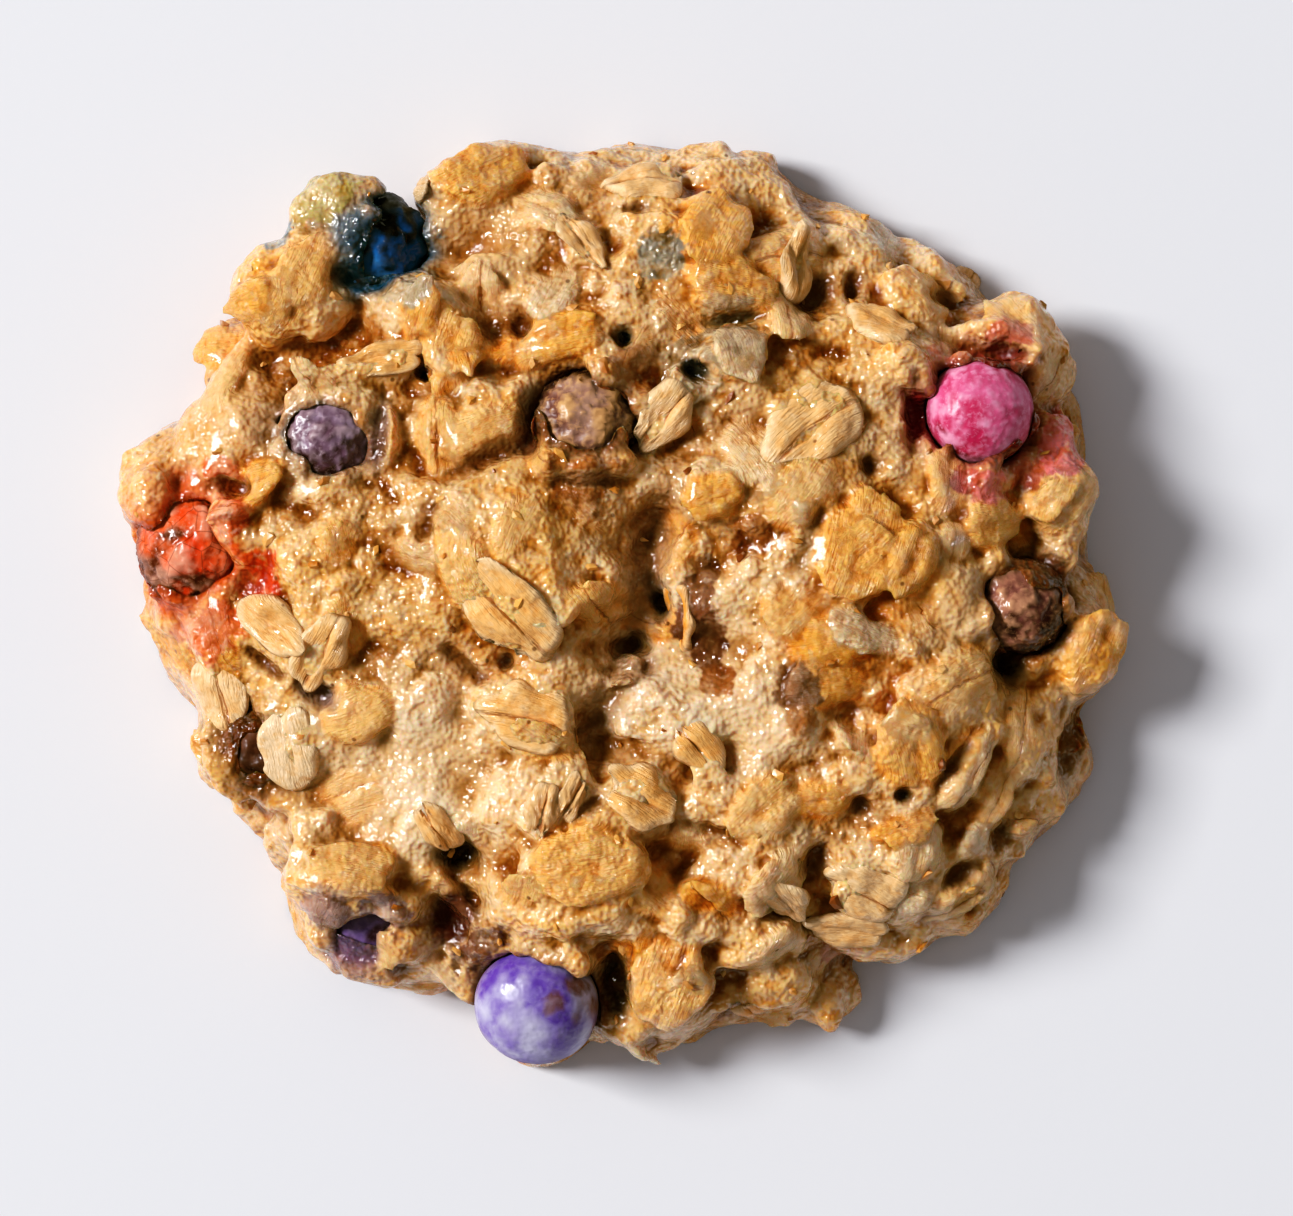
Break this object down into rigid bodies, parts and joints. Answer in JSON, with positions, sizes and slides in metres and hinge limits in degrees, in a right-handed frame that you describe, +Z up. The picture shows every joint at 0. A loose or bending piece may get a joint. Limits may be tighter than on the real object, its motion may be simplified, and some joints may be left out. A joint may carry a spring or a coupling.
{
  "type": "oatmeal breakfast cookie",
  "caption": "Round thick baked cookie of dough and rolled oats with a craggy top, a flat base and sugar-shelled chocolate candies sunk in the crown and rim.",
  "frame": {"origin": "middle of the flat base, on the surface the cookie lies on", "axes": "+Z up out of the crown, +X to the right and +Y to the top of the picture, which looks straight down"},
  "size_m": [0.08, 0.074, 0.016],
  "materials": {
    "dough": "baked dough and rolled oats, rough with a moist sheen; plastic stands in for food",
    "pink_shell": "sugar shell with a frosted bloom",
    "purple_shell": "sugar shell, washed out in patches",
    "orange_shell": "sugar shell cracked open over brown chocolate",
    "blue_shell": "dark chocolate with remains of a blue sugar shell",
    "brown_shell": "brown shell with a pale bloom",
    "violet_shell": "grey-violet shell with brown worn patches",
    "dark_shell": "dark brown shell"
  },
  "bodies": {
    "root": {"cookie": "dough", "candy_pink": "pink_shell", "candy_purple": "purple_shell", "candy_orange": "orange_shell", "candy_blue": "blue_shell", "candy_brown_top": "brown_shell", "candy_brown_side": "brown_shell", "candy_violet": "violet_shell", "candy_purple_low": "purple_shell", "candy_dark": "dark_shell"}
  },
  "joints": []
}
